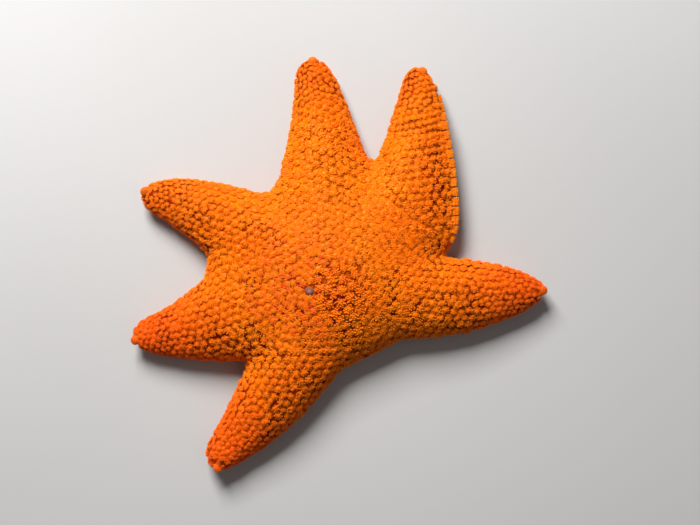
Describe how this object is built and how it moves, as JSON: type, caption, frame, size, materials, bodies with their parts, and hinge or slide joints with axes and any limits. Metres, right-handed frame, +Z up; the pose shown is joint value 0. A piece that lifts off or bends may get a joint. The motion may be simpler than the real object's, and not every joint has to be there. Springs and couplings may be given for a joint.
{
  "type": "starfish",
  "caption": "Six-armed orange starfish with a beaded back, lying flat on its arms; a still, life-size model of the living animal.",
  "frame": {"origin": "under the middle of the animal's bounding box, on the surface that it rests on", "axes": "+Z up, away from the resting surface; +Y towards the tip of arm_1; +X towards the tip of arm_5"},
  "size_m": [0.1001, 0.1, 0.0153],
  "materials": {
    "skin": "moist, beaded, bright orange",
    "madreporite": "dull grey mauve, finely grooved",
    "plates": "smooth pale orange"
  },
  "bodies": {
    "root": {"disc": "skin", "arm_1": "skin", "arm_2": "skin", "arm_3": "skin", "arm_4": "skin", "arm_5": "skin", "arm_6": "skin", "madreporite": "madreporite", "jaws": "plates", "terminal_plate_1": "plates", "terminal_plate_2": "plates", "terminal_plate_3": "plates", "terminal_plate_4": "plates", "terminal_plate_5": "plates", "terminal_plate_6": "plates"}
  },
  "joints": []
}
